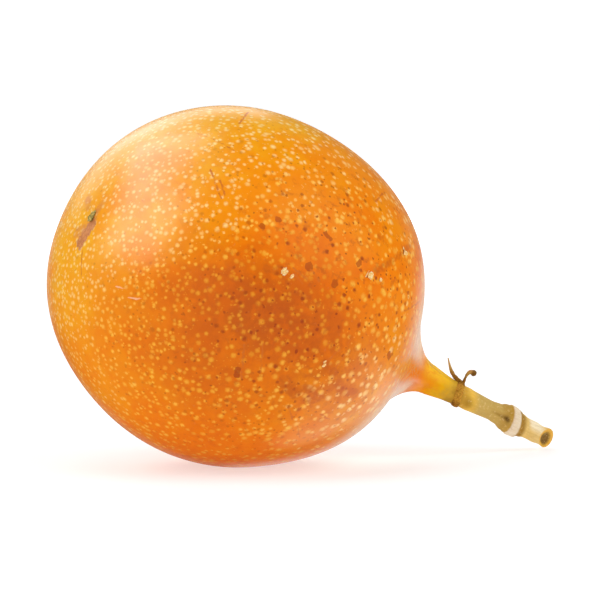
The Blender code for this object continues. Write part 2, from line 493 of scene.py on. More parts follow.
# Redder and yellower zones: angle and turn in degrees, length and height in mm, and strength
PLAIN_REDNESS = 0.80
RED_ZONES = (
    (98, -90, 20, 12, 0.30),
    (82, -138, 15, 15, 0.10),
    (70, 95, 26, 20, 0.20),
    (127, -117, 12, 12, 0.15),
    (155, -48, 8, 8, 0.18),
)
YELLOW_ZONES = (
    # The first, on the upper side, is partly the skin's own tone and partly painted light, the
    # yellowing of a brightly lit top
    (116, 10, 27, 27, 1.00),
    (165, -170, 17, 17, 0.50),
    (124, -152, 18, 18, 0.25),
    (146, -60, 19, 19, 0.08),
    (133, -74, 8, 8, 0.36),
    (166, 10, 14, 14, 0.40),
    (151, -106, 9, 9, 0.24),
    (124, -46, 12, 12, 0.14),
    (44, -103, 9, 16, 0.30),
    (60, -30, 14, 14, 0.15),
    (61, -112, 16, 16, 0.35),
    (115, 110, 20, 22, 0.30),
)
# Darker russet patches; the strongest, a band across the side facing the camera, is partly painted
# shade
RUSSET_AND_SHADE_ZONES = (
    (97, -91, 20, 8, 0.80),
    (88, -112, 15, 10, 0.12),
    (55, -105, 11, 13, 0.30),
    (66, -105, 10, 7, 0.30),
    (110, -118, 18, 14, 0.30),
    (110, 150, 16, 9, 0.5),
    (75, 80, 14, 8, 0.45),
)
FRECKLE_ZONES = ((80, -68, 24, 20, 1.0), (95, -110, 22, 14, 0.6), (100, 110, 26, 20, 0.8))

# Specks: they lie closer and smaller towards a pole far out past the style's stub
SPECK_CELL = 1.68
SPECK_POLE = 0.205
DEEP_ZONES = ((120, -137, 22, 22, 1.0),)  # where they are the least pale

# Marks, from one angle and turn to another in degrees, with half the width in mm
SCABS = (((166, -99), (165, -126), 0.80),)
BLUSHES = (
    ((174, -50), (172, -78), 0.42),
    ((165.5, -73), (167, -85), 0.40),
    ((170, -128), (167, -108), 0.80),
    ((167, -95), (166, -118), 1.10),
)
SCRATCHES = (
    ((162, -125), (155, -136), 0.05),
    ((117, -10), (120, -17), 0.08),
    ((120, -17), (122, -22), 0.11),
    ((135, -27), (124.5, -39.5), 0.07),
    ((131, -50), (126, -62), 0.10),
    ((127.7, -54.5), (125, -60.5), 0.12),
    ((75, -39), (71, -31), 0.10),
    ((101.5, -105), (99, -110), 0.13),
    ((99, -110), (96.5, -115), 0.10),
    ((96.5, -102), (92.5, -110.5), 0.09),
    ((98.5, -77), (93, -78), 0.11),
    ((97, -78.5), (94, -80), 0.10),
    ((93, -75), (89, -77), 0.13),
    ((72.5, -93), (75, -99), 0.14),
    ((69.5, -93), (70.5, -99), 0.11),
    ((76.5, -118), (72.5, -122), 0.12),
    ((64.5, -117), (59.5, -118.5), 0.11),
    ((52, -69), (42, -57), 0.12),
    ((64, -130), (69, -124), 0.10),
)
SMUDGES = (
    ((106, -80.5), (101, -79), 0.40),
    ((71, -65), (66.5, -59), 0.30),
    ((66.5, -59), (57, -44), 0.22),
    ((70, -101), (75, -99), 0.45),
    ((62, -106), (58, -105), 0.35),
    ((76, -109), (71, -111), 0.50),
    ((84, -110), (78, -112), 0.90),
    ((73, -113), (69, -111), 0.60),
    ((66, -104), (63, -106), 0.50),
)
PALE_SCARS = (((145, -118), (141, -114), 0.07), ((139, -117), (135, -112), 0.07))
SPOTS = (
    ((50, -88), (51, -87), 0.55),
    ((94, -74), (94, -74.5), 0.62),
    ((84, -75), (84, -76), 0.55),
    ((108, -64), (107.5, -64), 0.45),
    ((99, -113), (98, -115), 0.50),
    ((92, -62), (90, -63), 0.35),
    ((112, -68), (111.7, -68), 0.38),
    ((78, -66), (77.8, -65), 0.38),
)
# Chips of loose skin: angle, turn, and for each sliver how far right and up it lies, its size
# (all in mm), and its width as a share of that
CHIPS = (
    (100.7, -79, ((-0.20, 0.0, 0.85, 0.50), (0.30, -0.10, 0.80, 0.36), (1.60, 0.30, 0.60, 0.42))),
    (72.3, -67.3, ((-1.0, -0.2, 1.10, 0.12), (-0.1, 0.0, 0.95, 0.75), (2.30, 1.0, 0.55, 0.55))),
    (59.7, -49.6, ((0.0, 0.0, 0.80, 0.90), (-0.7, 0.5, 0.40, 0.60))),
    (74.8, -99.8, ((0.0, 0.0, 0.62, 0.50), (-0.5, 0.5, 0.40, 0.60))),
)


def on_body(angle, turn):
    """The point of the body at an angle and a turn in degrees, in millimetres."""
    return body_point(direction_at(np.radians(angle), np.radians(turn))) / MM


def stub_foot():
    out = (-math.cos(STUB_ANGLE), -math.sin(STUB_ANGLE), -math.sin(STUB_DROP))
    return body_point(unit(np.array(out)))


def zone_strength(points, zones):
    """How strongly points lie in zones, each an oval on the body along the stalk's line."""
    total = np.zeros(len(points))
    for angle, turn, length, height, strength in zones:
        centre = on_body(angle, turn) * MM
        along = direction_at(np.radians(angle) - math.pi / 2, np.radians(turn))
        out = points - centre
        lengthways = out @ along
        across = np.linalg.norm(out - lengthways[:, None] * along, axis=1)
        reach = (lengthways / (length * MM)) ** 2 + (across / (height * MM)) ** 2
        total += strength * np.exp(-reach)
    return total


def shaped_rind(mesh):
    """Gives the rind its faint lumps and dents, the folds of the flare and the stub's hollow."""
    points = points_of(mesh)
    normals = points_of(mesh, "normal")
    height = np.full(len(points), -RELIEF_INSET)
    for seed, (size, rise) in enumerate((BROAD_RELIEF, MIDDLE_RELIEF, FINE_RELIEF)):
        height += rise * (noise_at(points, size, seed + 3.0) - 0.4)
    gap = np.linalg.norm(points - stub_foot(), axis=1)
    height -= STUB_HOLLOW * np.exp(-((gap / STUB_HOLLOW_REACH) ** 2))
    turn = np.arctan2(points[:, 1], points[:, 2] - STALK_LIFT)
    folds = np.cos(FLARE_FOLDS * turn + 2.0 * noise_at(points, FOLD_SWAY_SIZE, 9.0)) - 0.6
    height += FLARE_FOLD_DEPTH * folds * band(points[:, 0], *FOLD_PLACES)
    set_points(mesh, points + normals * height[:, None])


def rind_values(mesh):
    """Keeps for the material what it can't work out from the place alone."""
    points = points_of(mesh)
    store(mesh, "own", points / MM)
    red = zone_strength(points, RED_ZONES) - zone_strength(points, YELLOW_ZONES)
    store(mesh, "redness", PLAIN_REDNESS + red)
    store(mesh, "russet_and_shade", zone_strength(points, RUSSET_AND_SHADE_ZONES))
    store(mesh, "deep", np.minimum(zone_strength(points, DEEP_ZONES), 1.0))
    store(mesh, "freckled", np.minimum(0.12 + zone_strength(points, FRECKLE_ZONES), 1.0))
    pole = unit(stub_foot()) * SPECK_POLE
    from_pole = points - pole
    reach = SPECK_POLE**2 + (BODY_WIDTH / 2) ** 2
    speck_at = pole + from_pole * reach / (from_pole**2).sum(axis=1, keepdims=True)
    store(mesh, "speck_at", speck_at / MM)
    store(mesh, "out", points_of(mesh, "normal"))
    speck_mesh = mesh.copy()
    set_points(speck_mesh, speck_at)
    store(mesh, "speck_out", points_of(speck_mesh, "normal"))
    bpy.data.meshes.remove(speck_mesh)
    store(mesh, "from_stub", np.linalg.norm(points - stub_foot(), axis=1) / MM)
    place, high = points[:, 0], points[:, 2] - STALK_LIFT
    store(mesh, "on_neck", (place - NECK_COLOUR_START) / (NECK_END - NECK_COLOUR_START))
    flare = band(place, *FLARE_PLACES)
    store(mesh, "flare", flare)
    # Painted sheen on the flare's upper and lower sides, weaker on the side away from the camera
    reach = np.maximum(np.hypot(points[:, 1], high), 1e-6)
    painted_flare_sheen = flare * smooth_step(np.abs(high) / reach, 0.08, 0.50)
    far_side = smooth_step(points[:, 1] / reach, 0.15, 0.75)
    far_side = far_side * smooth_step(place, *FAR_SHEEN_PLACES)
    store(mesh, "painted_flare_sheen", painted_flare_sheen * (1.0 - FAR_SHEEN_LOSS * far_side))
    # How far a point lies on the upper side, for the neck's painted highlight
    store(mesh, "upper", smooth_step(high / reach, -0.1, 0.7))


def strokes(graph, at, marks, soft):
    """A mask of line-shaped marks on the body."""
    masks = []
    for start, end, half_width in marks:
        ends = (Vector(on_body(*start)), Vector(on_body(*end)))
        masks.append(graph.stroke(at, *ends, half_width, soft))
    return graph.most(*masks)


def rind_material():
    graph = Graph("granadilla_rind")
    own = graph.attribute("own", "Vector")
    on_neck = graph.attribute("on_neck")
    off_neck = graph.between(on_neck, 0.42, 0.10)

    # The skin's colour, blotched at several sizes; its yellow top is partly painted light and its
    # dark russet band facing the camera partly painted shade
    blotch = graph.noise(graph.shaken(own, 9.0, 5.0), 7.0, 4.0, 0.55)
    cloud = graph.noise(graph.shaken(own, 3.0, 2.0), 2.2, 3.0, 0.6)
    redness = graph.math("ADD", graph.attribute("redness"), graph.either_way(blotch, 0.13))
    redness = graph.math("ADD", redness, graph.either_way(cloud, 0.06))
    skin = graph.ramp(redness, SKIN_COLOURS)
    grime = graph.noise(graph.shaken(own, 4.0, 6.0, 3.0), 3.4, 5.0, 0.62)
    # Russet patches, partly painted shade where they face the camera
    russet_and_shade = graph.times(graph.attribute("russet_and_shade"), graph.between(grime, 0.34, 0.60, 0.5, 1.0))
    skin = graph.mix(russet_and_shade, skin, RUSSET_AND_SHADE_COLOUR)

    # Brown freckles and spots
    freckle_at = graph.shaken(own, 0.6, 0.5)
    freckled = graph.attribute("freckled")
    out = graph.attribute("out", "Vector")
    freckles, _ = graph.dots(freckle_at, out, 1.9, 0.20, 0.52, share=0.42, soft=0.7)
    points, _ = graph.dots(freckle_at, out, 1.25, 0.16, 0.29, share=0.17)
    freckles = graph.times(freckles, freckled, 0.86)
    points = graph.times(points, graph.math("ADD", freckled, 0.25), 0.68)
    ragged = graph.shaken(own, 0.7, 0.9, 3.0)
    spots = strokes(graph, ragged, SPOTS, 0.16)
    brown = graph.most(freckles, points, graph.times(spots, 0.62))

    # Pale specks, which leave the brown ones clear
    speck_at = graph.shaken(graph.attribute("speck_at", "Vector"), 0.5, 0.5)
    speck_out = graph.attribute("speck_out", "Vector")
    specks, level = graph.dots(speck_at, speck_out, SPECK_CELL, 0.40, 0.67, soft=0.8)
    faint, _ = graph.dots(speck_at, speck_out, 0.95, 0.13, 0.24, share=0.22)
    strength = graph.between(level, 0.0, 1.0, 0.66, 1.0)
    strength = graph.times(strength, graph.between(redness, 0.6, 0.95, 1.0, 0.80))
    specks = graph.times(specks, strength, off_neck)
    faint = graph.times(faint, off_neck, 0.40)
    deep = graph.times(graph.attribute("deep"), 0.85)
    speck_colour = graph.mix(deep, graph.ramp(redness, SPECK_COLOURS), DEEP_SPECK_COLOUR)
    specks = graph.times(graph.most(specks, faint), graph.math("SUBTRACT", 1.0, brown))
    skin = graph.mix(specks, skin, speck_colour)
    skin = graph.mix(graph.times(brown, off_neck), skin, FRECKLE_COLOUR)

    # Smudges, scratches, scars and the dried scabs round the stub
    wavy = graph.shaken(own, 1.3, 0.7)
    smudges = strokes(graph, graph.shaken(own, 1.2, 1.2), SMUDGES, 0.8)
    cloudy = graph.between(graph.noise(ragged, 1.5, 3.0), 0.54, 0.70, 0.0, 0.6)
    smudges = graph.most(graph.times(smudges, 0.62), graph.times(cloudy, freckled, off_neck))
    smudges = graph.times(smudges, graph.between(graph.noise(own, 0.9, 3.0), 0.3, 0.6, 0.4, 1.0))
    skin = graph.mix(smudges, skin, SMUDGE_COLOUR)
    scratches = strokes(graph, wavy, SCRATCHES, 0.20)
    broken = graph.between(graph.noise(own, 0.8), 0.36, 0.56, 0.3, 0.9)
    skin = graph.mix(graph.times(scratches, broken), skin, SCRATCH_COLOUR)
    pale_scars = strokes(graph, wavy, PALE_SCARS, 0.14)
    skin = graph.mix(graph.times(pale_scars, 0.8), skin, PALE_SCAR_COLOUR)
    halo = graph.between(graph.attribute("from_stub"), 3.0, 0.8)
    halo = graph.most(graph.times(halo, 0.5), strokes(graph, wavy, BLUSHES, 0.9))
    halo = graph.times(halo, graph.between(graph.noise(ragged, 1.1), 0.36, 0.62, 0.5, 1.0))
    skin = graph.mix(graph.times(halo, 0.70), skin, BLUSH_COLOUR)
    crust = graph.noise(own, 0.8, 5.0, 0.7)
    scabs = strokes(graph, graph.shaken(own, 1.6, 1.0), SCABS, 1.0)
    scabs = graph.between(graph.math("ADD", scabs, graph.either_way(crust, 0.5)), 0.4, 0.75)
    scab_colour = graph.mix(graph.between(crust, 0.45, 0.65), SCAB_COLOUR, SCAB_CREST_COLOUR)
    skin = graph.mix(graph.times(scabs, 0.85), skin, scab_colour)

    # A pale painted sheen on both sides of the flare, weaker on the side away from the camera, with
    # ruddy streaks between
    streaks = graph.noise(graph.shaken(graph.drawn_out(own, 0.3), 1.2, 0.8), 0.7, 4.0, 0.6)
    flare = graph.attribute("flare")
    ruddy = graph.times(flare, graph.between(streaks, 0.42, 0.62, 0.1, 0.75))
    skin = graph.mix(ruddy, skin, RUDDY_COLOUR)
    painted_flare_sheen = graph.times(graph.attribute("painted_flare_sheen"), graph.between(streaks, 0.30, 0.60, 1.0, 0.60))
    painted_flare_sheen = graph.times(painted_flare_sheen, graph.between(cloud, 0.36, 0.62, 1.0, 0.70))
    skin = graph.mix(graph.times(painted_flare_sheen, 0.92), skin, FLARE_SHEEN_COLOUR)

    # The neck turns from orange through yellow to olive, with a painted highlight along its upper
    # side
    along_neck = graph.math("ADD", on_neck, graph.either_way(cloud, 0.05))
    neck_colour = graph.ramp(along_neck, NECK_COLOURS)
    upper = graph.times(graph.attribute("upper"), graph.between(on_neck, 0.95, 0.7, 0.2, 0.75))
    neck_colour = graph.mix(upper, neck_colour, NECK_HIGHLIGHT_COLOUR)
    ruddy = graph.times(graph.between(streaks, 0.46, 0.66), graph.between(on_neck, 0.9, 0.5), 0.5)
    neck_colour = graph.mix(ruddy, neck_colour, NECK_STREAK_COLOUR)
    skin = graph.mix(graph.between(on_neck, 0.36, 0.54), skin, neck_colour)

    roughness = graph.between(grime, 0.3, 0.7, 0.235, 0.272)
    sheen = graph.between(on_neck, 0.3, 0.6, RIND_SHEEN, NECK_SHEEN)
    pores = graph.noise(own, 0.5, 3.0, 0.6)
    bumps = ((pores, 0.000035), (specks, 0.00002), (scabs, -0.00005))
    return graph.finish(skin, roughness, bumps, sheen)


def make_rind():
    tip = body_point(direction_at(math.pi, 0.0))
    mesh = mesh_of("rind", rows_and_faces(rind_rows(), tip, (NECK_END, 0.0, STALK_LIFT)))
    shaped_rind(mesh)
    rind_values(mesh)
    show("rind", mesh, rind_material(), "fruit")
    points = points_of(mesh)
    points[:, 2] = np.maximum(points[:, 2], 0.0)  # the relief doesn't pass through the floor
    set_points(mesh, points)


# ---- little flakes of chipped skin

# Rows from the root up: share of the reach, and rise as a share of the width
FLAKE_ROWS = ((0.55, -0.25), (1.0, 0.05), (0.97, 0.14), (0.60, 0.17), (0.30, 0.10))
FLAKE_COLOURS = ((0.84, 0.45, 0.12), (0.93, 0.74, 0.38))


def flake(foot, right, up, size, slimness, seed):
    """A curled sliver of dried skin on the body, right of and up from a point there."""
    across = unit(np.cross((0.3, 0.1, 1.0), foot))
    out = unit(foot)
    side = np.cross(out, across)
    centre = body_point(unit(foot + across * right + side * up))
    out = unit(centre)
    turn = turns(FLAKE_AROUND)
    ragged = np.array([noise.noise(Vector((math.cos(t), math.sin(t), seed)) * 1.7) for t in turn])
    reach = size * (1.0 + 0.45 * ragged) * (0.72 + 0.28 * np.abs(np.cos(turn)))
    rows = []
    for share, rise in FLAKE_ROWS:
        curl = size * slimness * (rise + 0.25 * share * np.cos(2 * turn + seed))
        flat = np.cos(turn)[:, None] * across * slimness + np.sin(turn)[:, None] * side
        rows.append(centre + flat * (reach * share)[:, None] + curl[:, None] * out)
    first_tip = centre - 0.3 * size * out
    last_tip = centre + 0.08 * size * out
    return rows_and_faces(np.array(rows)[:, ::-1], first_tip, last_tip)


def flake_material():
    graph = Graph("dried_flake")
    at = graph.node("ShaderNodeTexCoord").outputs["Object"]
    tone = graph.noise(at, 0.0003, 2.0)
    colour = graph.mix(graph.between(tone, 0.4, 0.62), *FLAKE_COLOURS)
    return graph.finish(colour, 0.6, ((tone, 0.00004),))


def make_flakes():
    parts = []
    for seed, (angle, turn, slivers) in enumerate(CHIPS):
        foot = on_body(angle, turn) * MM
        for right, up, size, slimness in slivers:
            parts.append(flake(foot, right * MM, up * MM, size * MM, slimness, seed * 3.1 + right))
    show("rind_flakes", mesh_of("rind_flakes", *parts), flake_material(), "fruit")


# ---- the stem

LAST_PIECE = 0.0690  # past here the stem's length is fitted to its slanting cut
# The cut lies a little nearer the fruit than the solid's, and slants more
CUT_MIDDLE = CUT_PLACE - 0.0006
CUT_FACING = CUT_TURN + math.radians(11.0)
FIBRES = 15
FIBRE_DEPTH = 0.00003
STEM_LUMPS = (0.0030, 0.00009)
GROOVE_DEPTH = 0.00040  # it lies on the camera's side of the stem
GROOVE_TURN = math.radians(-92.0)
GROOVE_HALF_WIDTH = math.radians(13.0)
GROOVE_FOOT = (0.0632, GROOVE_TURN)  # a place and a turn
DIMPLE = (0.0638, math.radians(-58.0))
COLLAR_RISE = 0.00016  # of the pale collar where a leaf fell
COLLAR_LEAN = 0.00022
COLLAR_DROP = 0.0005
SHADED_PLACE = 0.0539
SHADED_TURN = math.radians(-110.0)
BARK_RADIUS = 0.0025

# Where each form or colour of the stem starts, is full, fades and ends
COLLAR_FORM = (0.0643, 0.0648, 0.0661, 0.0666)
COLLAR_PALE = (0.0645, 0.0648, 0.0660, 0.0664)
UNDER_COLLAR = (0.0662, 0.0666, 0.0669, 0.0678)
GROOVE_FORM = (0.0590, 0.0612, 0.0631, 0.0636)
# The groove's painted shade
GROOVE_SHADE_PLACES = (0.0586, 0.0624, 0.0633, 0.0637)
# The last piece's painted highlight
STEM_HIGHLIGHT_PART = (0.0684, 0.0696, 0.0715, 0.0735)

BARK_COLOURS = (
    (0.0520, (0.42, 0.22, 0.03)),
    (0.0530, (0.68, 0.38, 0.05)),
    (0.0546, (0.92, 0.57, 0.09)),
    (0.0570, (0.58, 0.39, 0.110)),
    (0.0615, (0.55, 0.365, 0.098)),
    (0.0634, (0.49, 0.30, 0.065)),
    (0.0646, (0.49, 0.28, 0.042)),
    (0.0672, (0.40, 0.22, 0.045)),
    (0.0684, (0.78, 0.52, 0.165)),
    (0.0712, (0.79, 0.55, 0.210)),
    (0.0730, (0.84, 0.56, 0.18)),
    (0.0745, (0.72, 0.42, 0.08)),
)
COLLAR_COLOUR = (0.88, 0.75, 0.575)
UNDER_COLLAR_COLOUR = (0.34, 0.17, 0.025)
# A painted highlight on the top of the last piece
STEM_HIGHLIGHT_COLOUR = (0.99, 0.86, 0.60)
SHADED_COLOUR = (0.40, 0.21, 0.018)
# Painted shade in the groove
GROOVE_SHADE_COLOUR = (0.30, 0.165, 0.028)
# Painted shade of a small pit at the groove's foot
PIT_SHADE_COLOUR = (0.12, 0.06, 0.015)
CUT_RIM_COLOUR = (0.80, 0.42, 0.05)
CUT_WOOD_COLOUR = (0.66, 0.34, 0.035)
PITH_COLOUR = (0.17, 0.080, 0.010)
GRAIN_COLOUR = (0.55, 0.33, 0.07)
FLECK_COLOUR = (0.93, 0.72, 0.36)

# The cut face: rings as shares of the rim, how deep the pith lies and how high the edge stands
CUT_RINGS = (0.97, 0.90, 0.78, 0.64, 0.52, 0.42, 0.32, 0.20, 0.08)
CUT_DEPTH = 0.00022
CUT_EDGE = 0.00004
PITH_SHIFT = (-0.00060, -0.00060, -0.00050)


def turn_gap(turn, wanted):
    """How far a turn is from a wanted one, the short way round."""
    return np.abs((turn - wanted + math.pi) % (2 * math.pi) - math.pi)


def near_turn(turn, wanted, width):
    return np.exp(-((turn_gap(turn, wanted) / width) ** 2))


def round_spot(place, turn, spot, width, radius=BARK_RADIUS):
    """1 at a spot of the stem, fading out round it."""
    gap = (place - spot[0]) ** 2 + (radius * turn_gap(turn, spot[1])) ** 2
    return np.exp(-gap / width**2)


def leant(place, turn):
    """Places for the collar, which comes further back on the stem's upper side."""
    return place + COLLAR_LEAN * (1.0 + np.cos(turn))


def stem_radius(place, turn):
    radius = eased(place, STEM_PROFILE)
    place = leant(place, turn)
    radius = radius + COLLAR_RISE * band(place, *COLLAR_FORM)
    radius = radius + FIBRE_DEPTH * np.cos(FIBRES * turn + 0.8 * np.sin(place / 0.0021))
    groove = band(place, *GROOVE_FORM) * near_turn(turn, GROOVE_TURN, GROOVE_HALF_WIDTH)
    dimple = round_spot(place, turn, DIMPLE, 0.00060, radius)
    return radius - GROOVE_DEPTH * (groove + 0.5 * dimple)


def stem_places(turn):
    """The stations along the stem at each turn, with the last ones fitted to the slanting cut."""
    start = NECK_END + JOINT_THICKNESS + JOINT_GAP
    level = np.linspace(start, CUT_MIDDLE, STEM_ROWS)[:, None]
    radius = eased(CUT_MIDDLE, STEM_PROFILE)
    to_cut = radius * np.sin(turn) * math.tan(CUT_FACING) + JOINT_SLANT * radius * np.cos(turn)
    share = np.clip((level - LAST_PIECE) / (CUT_MIDDLE - LAST_PIECE), 0.0, 1.0)
    return swung(level, turn) + to_cut * share


def blend(colour, share, other):
    return colour + (np.array(other) - colour) * share[..., None]


def bark_tone(place, turn):
    """The bark's colour at a place and a turn, with painted shade and a painted highlight."""
    place = leant(place, turn)
    colour = eased(place, BARK_COLOURS)
    start, full, fade, end = COLLAR_PALE
    drop = COLLAR_DROP * (1.0 - np.cos(turn)) / 2
    colour = blend(colour, 0.92 * band(place, start - drop, full - drop, fade, end), COLLAR_COLOUR)
    colour = blend(colour, 0.85 * band(place, *UNDER_COLLAR), UNDER_COLLAR_COLOUR)
    shaded = np.exp(-(((place - SHADED_PLACE) / 0.0014) ** 2)) * near_turn(turn, SHADED_TURN, 0.68)
    colour = blend(colour, 0.98 * shaded, SHADED_COLOUR)
    # A painted highlight along the top of the last piece
    upper = smooth_step(np.cos(turn), -0.2, 0.6)
    colour = blend(colour, 0.95 * upper * band(place, *STEM_HIGHLIGHT_PART), STEM_HIGHLIGHT_COLOUR)
    # Painted shade down the groove
    groove = band(place, *GROOVE_SHADE_PLACES) * near_turn(turn, GROOVE_TURN, 0.15)
    colour = blend(colour, 0.80 * groove, GROOVE_SHADE_COLOUR)
    # Painted shade: a dark dot for the small pit where the groove ends
    colour = blend(colour, round_spot(place, turn, GROOVE_FOOT, 0.00062), PIT_SHADE_COLOUR)
    return blend(colour, 0.6 * round_spot(place, turn, DIMPLE, 0.00050), SHADED_COLOUR)


def stem_and_cut():
    """Rows of the stem and its cut face, with the colour at each point."""
    turn = turns(STEM_AROUND)[None, :]
    place = stem_places(turn)
    rows = stalk_point(place, stem_radius(place, turn), turn)
    tone = bark_tone(place, turn)
    rim = rows[-1]
    centre = rim.mean(axis=0)
    face = np.array((math.cos(CUT_FACING), -math.sin(CUT_FACING), 0.0))
    pith = centre + np.array(PITH_SHIFT)
    cut_rows = []
    cut_tones = []
    for share in CUT_RINGS:
        middle = centre + (pith - centre) * (1.0 - share)
        sunk = CUT_DEPTH * smooth_step(share, CUT_RINGS[0], 0.35)
        sunk = sunk - CUT_EDGE * (share == CUT_RINGS[0])
        cut_rows.append(middle + (rim - centre) * share - sunk * face)
        ring = blend(np.array(CUT_RIM_COLOUR), smooth_step(share, 0.92, 0.62), CUT_WOOD_COLOUR)
        ring = blend(ring, smooth_step(share, 0.80, 0.52), PITH_COLOUR)
        cut_tones.append(np.tile(ring, (STEM_AROUND, 1)))
    rows = np.concatenate((rows, cut_rows))
    tone = np.concatenate((tone, cut_tones))
    return rows, tone, pith - CUT_DEPTH * face


def stem_material():
    graph = Graph("dry_stem_bark")
    tone = graph.attribute("tone", "Color")
    own = graph.attribute("own", "Vector")
    grain = graph.noise(graph.drawn_out(own, 0.22), 0.30, 4.0, 0.6)
    fleck = graph.noise(own, 0.55, 3.0, 0.6)
    colour = graph.mix(graph.between(grain, 0.35, 0.68, 0.0, 0.30), tone, GRAIN_COLOUR)
    colour = graph.mix(graph.between(fleck, 0.56, 0.70, 0.0, 0.30), colour, FLECK_COLOUR)
    roughness = graph.between(fleck, 0.3, 0.7, 0.42, 0.60)
    return graph.finish(colour, roughness, ((grain, 0.00006), (fleck, 0.00003)))


def make_stem():
    rows, tone, end = stem_and_cut()
    root = (NECK_END, 0.0, STALK_LIFT)
    mesh = mesh_of("stem_bark", rows_and_faces(rows, root, end))
    points = points_of(mesh)
    size, rise = STEM_LUMPS
    lumps = rise * smooth_step(points[:, 0], CUT_PLACE - 0.001, CUT_PLACE - 0.004)
    lumps = lumps * noise_at(points, size, 5.0)
    set_points(mesh, points + points_of(mesh, "normal") * lumps[:, None])
    tips = np.array((BARK_COLOURS[0][1], PITH_COLOUR))
    store(mesh, "tone", np.concatenate((tone.reshape(-1, 3), tips)))
    store(mesh, "own", points / MM)
    show("stem_bark", mesh, stem_material(), "stem")


# ---- the flower's remains

RING_INTO_NECK = 0.0002
RING_EDGE_RADIUS = NECK_END_RADIUS - 0.00025
RING_SWELL = 0.00040
RING_KNOB = 0.00026
RING_RIPPLE = 0.00006
KNOB_TURN = math.radians(-150.0)
BIT_COLOURS = ((0.17, 0.075, 0.010), (0.40, 0.18, 0.022))
RING_COLOURS = ((0.34, 0.16, 0.016), (0.62, 0.32, 0.04))
PALE_BIT_COLOUR = (0.66, 0.42, 0.12)
DARK_BIT_COLOUR = (0.17, 0.09, 0.02)
RED_BIT_COLOUR = (0.36, 0.045, 0.012)

TOP = JOINT_RADIUS + STALK_LIFT

# The two dried bits: stops of place, height from the joint's top, and radius
SPINE = (
    (0.0519, -0.0008, 0.00060),
    (0.0512, -0.0002, 0.00056),
    (0.0503, 0.0001, 0.00052),
    (0.0493, 0.0005, 0.00046),
    (0.0483, 0.0012, 0.00034),
    (0.0474, 0.0021, 0.00022),
    (0.0466, 0.0030, 0.00013),
)
CURL = (
    (0.0519, -0.0008, 0.00052),
    (0.0519, 0.0003, 0.00036),
    (0.05185, 0.0011, 0.00027),
    (0.0519, 0.0018, 0.00035),
    (0.0522, 0.0024, 0.00050),
    (0.0529, 0.0026, 0.00062),
    (0.0533, 0.0024, 0.00066),
)


def route_between(stops, count):
    """The stops' values along a smooth curve through them (Catmull-Rom)."""
    stops = np.array(stops)
    padded = np.concatenate((2 * stops[:1] - stops[1:2], stops, 2 * stops[-1:] - stops[-2:-1]))
    at = np.linspace(0.0, len(stops) - 1 - 1e-9, count)
    first = at.astype(int)
    share = (at - first)[:, None]
    a, b, c, d = (padded[first + i] for i in range(4))
    slope = (c - a) * share + (2 * a - 5 * b + 4 * c - d) * share**2
    return b + 0.5 * (slope + (3 * b - a - 3 * c + d) * share**3)


def dried_bit(stops, seed):
    """A thin dried strand through the stops, ribbed and uneven."""
    place, height, radius = route_between(stops, BIT_ROWS).T
    centre = np.stack((place, 0 * place, TOP + height), axis=-1)
    ahead = unit(np.gradient(centre, axis=0))
    side = np.array((0.0, 1.0, 0.0))
    up = np.cross(ahead, side)
    turn = turns(BIT_AROUND)
    uneven = np.array([noise.noise(Vector((c[0] * 1400, seed, c[2] * 1400))) for c in centre])
    radius = radius * (1.0 + 0.22 * uneven)
    ribbed = radius[:, None] * (1.0 + 0.12 * np.cos(5 * turn + seed))
    flat = ribbed * np.cos(turn)
    rise = ribbed * np.sin(turn) * 0.85
    rows = centre[:, None] + flat[..., None] * side + rise[..., None] * up[:, None]
    tip = centre[-1] + ahead[-1] * radius[-1] * 0.6
    return rows_and_faces(rows[:, ::-1], centre[0], tip)


def joint_ring():
    """The brown scar ring: uneven, thickest below, and sunk into the neck and the stem."""
    turn = turns(RING_AROUND)[None, :]
    share = np.linspace(0.0, 1.0, RING_ROWS)[:, None]
    start = NECK_END - RING_INTO_NECK
    place = start + (JOINT_THICKNESS + 2 * JOINT_GAP + RING_INTO_NECK) * share
    crown = np.sqrt(np.maximum(1.0 - (2 * share - 1.0) ** 2, 0.0))
    radius = RING_EDGE_RADIUS + RING_SWELL * crown**0.7
    radius = radius + RING_KNOB * near_turn(turn, KNOB_TURN, 0.28) * crown
    radius = radius + RING_RIPPLE * np.cos(13 * turn + 3 * np.sin(2 * turn)) * crown
    place = swung(place + RING_RIPPLE * np.sin(3 * turn + 1.0), turn)
    rows = stalk_point(place, radius, turn)
    return rows_and_faces(rows, (start, 0.0, STALK_LIFT), (place.max(), 0.0, STALK_LIFT))


def remains_material():
    graph = Graph("dry_flower_bits")
    own = graph.attribute("own", "Vector")
    fibre = graph.noise(own, 0.28, 4.0, 0.65)
    fibrous = graph.between(fibre, 0.35, 0.65)
    ring_colour = graph.mix(fibrous, *RING_COLOURS)
    colour = graph.mix(graph.attribute("on_ring"), graph.mix(fibrous, *BIT_COLOURS), ring_colour)
    colour = graph.mix(graph.attribute("paleness"), colour, PALE_BIT_COLOUR)
    colour = graph.mix(graph.attribute("darkness"), colour, DARK_BIT_COLOUR)
    red = graph.between(graph.noise(own, 0.45, 2.0), 0.60, 0.68)
    colour = graph.mix(graph.times(red, 0.6), colour, RED_BIT_COLOUR)
    return graph.finish(colour, 0.62, ((fibre, 0.00008),))


